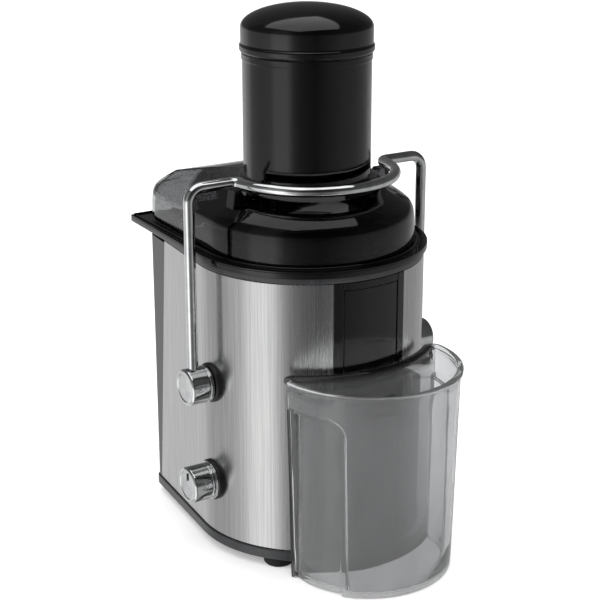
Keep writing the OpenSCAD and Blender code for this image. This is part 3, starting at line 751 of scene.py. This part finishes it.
def add_container():
    levels = [0.0, 0.6, 2, 8, 20, 40, 60, 80, 95] + [98 + i * 0.8 for i in range(27)] + [124]
    rings = [cup_ring(1.2, 0.0), cup_ring(0.3, 0.5)] + [cup_ring(0, z) for z in levels[2:]]
    top = CUP_H - 3
    rings.append(cup_ring(0, top - 0.5))
    rim = [(0.6, top), (0, top + 0.6), (0, CUP_H - 0.7), (0.6, CUP_H), (3.6, CUP_H),
           (4.2, CUP_H - 0.6)]
    rings += [[(x, y, z) for x, y in cup_outline(inset)] for inset, z in rim]
    rings += [cup_ring(CUP_WALL, z) for z in [top - 1] + levels[:3:-1]]
    rings += [cup_ring(CUP_WALL, 5.0), cup_ring(CUP_WALL + 1, 3.1), cup_ring(CUP_WALL + 2.4, 2.6)]
    points, faces = sweep(rings)
    place_mesh("smoked_container", points, faces, "juice_container", sharp=60)


# ---------- stage ----------


def add_stage():
    floor = bpy.data.meshes.new("floor")
    floor.from_pydata([(-6, -6, 0), (6, -6, 0), (6, 6, 0), (-6, 6, 0)], [], [(0, 1, 2, 3)])
    sheet = bpy.data.objects.new("floor", floor)
    bpy.context.scene.collection.objects.link(sheet)
    # Matt white card: nearly even, with a faint mottle.
    floor.materials.append(finish("studio_card", {"Emission Color": (1, 1, 1, 1),
                                                  "Emission Strength": 0.3},
                                  ("#f2f2f2", "#f7f7f7"), (0.85, 0.95), (40, 3), (3, 3), 0.02))
    sheet.visible_glossy = False


# Brightness of the studio's walls by direction, in degrees from the juicer's nose: a broad
# softbox at the front, pale walls behind, and a dark curtain off the nose's front side.
WALLS = ((-180, 0.85), (-160, 0.9), (-148, 0.58), (-122, 0.62), (-100, 0.85), (-90, 1.45),
         (-68, 1.5), (-56, 0.48), (-44, 0.22), (-18, 0.1), (4, 0.24), (34, 0.42), (95, 0.42),
         (130, 0.5), (180, 0.8))
# Brightness by height: share of the way from straight down to straight up.
HEIGHTS = ((0.0, 0.75), (0.35, 1.0), (0.46, 0.85), (0.53, 0.2), (0.7, 0.16), (0.85, 0.14),
           (1.0, 0.1))


def add_light():
    lamp = bpy.data.lights.new("top_softbox", "AREA")
    lamp.size = 2.2
    lamp.energy = 18
    holder = bpy.data.objects.new("top_softbox", lamp)
    holder.location = (SPINDLE_X, -0.2, 1.9)
    bpy.context.scene.collection.objects.link(holder)
    world = bpy.data.worlds.new("studio")
    bpy.context.scene.world = world
    world.use_nodes = True
    tree = world.node_tree
    tree.nodes.clear()
    way = add(tree, "ShaderNodeTexCoord", {}, {}).outputs["Generated"]
    round_about = add(tree, "ShaderNodeTexGradient", {"gradient_type": "RADIAL"},
                      {"Vector": way}).outputs["Fac"]
    rise = add(tree, "ShaderNodeSeparateXYZ", {}, {0: way}).outputs["Z"]
    up = add(tree, "ShaderNodeMapRange", {"From Min": -1.0, "From Max": 1.0}, {"Value": rise})
    level = add(tree, "ShaderNodeMath", {"operation": "MULTIPLY"}, {})
    around = [((way_round + 180) / 360, bright) for way_round, bright in WALLS]
    for i, (source, stops) in enumerate(((round_about, around), (up.outputs[0], HEIGHTS))):
        ramp = add(tree, "ShaderNodeValToRGB", {}, {"Fac": source})
        marks = ramp.color_ramp.elements
        while len(marks) < len(stops):
            marks.new(1.0)
        for mark, (where, bright) in zip(marks, stops):
            mark.position = where
            mark.color = (bright, bright, bright, 1)
        tree.links.new(ramp.outputs[0], level.inputs[i])
    room = add(tree, "ShaderNodeBackground", {"Color": (1, 1, 1, 1)},
               {"Strength": level.outputs[0]})
    backdrop = add(tree, "ShaderNodeBackground", {"Color": (1, 1, 1, 1), "Strength": 1.0}, {})
    mirrored = add(tree, "ShaderNodeLightPath", {}, {}).outputs["Is Glossy Ray"]
    mix = add(tree, "ShaderNodeMixShader", {},
              {0: mirrored, 1: backdrop.outputs[0], 2: room.outputs[0]})
    add(tree, "ShaderNodeOutputWorld", {}, {"Surface": mix.outputs[0]})
    bpy.context.scene.view_settings.view_transform = "Standard"


# ---------- assembly ----------


def finish_cad_nodes():
    for name, node in frame["nodes"].items():
        node.data.materials.clear()
        node.data.materials.append(FINISH[SLOT_OF[name]])
        for face in node.data.polygons:
            face.material_index = 0
    for name in ("grater_disc", "basket_rim", "hub_nut"):
        frame["nodes"][name].data.materials[0] = POLISHED_STEEL


finish_cad_nodes()
add_steel_skin()
add_base_skirt()
add_top_band()
add_nose()
add_collector_edge()
add_lid()
add_pusher()
add_bail()
add_knobs()
add_container()
add_stage()
add_light()
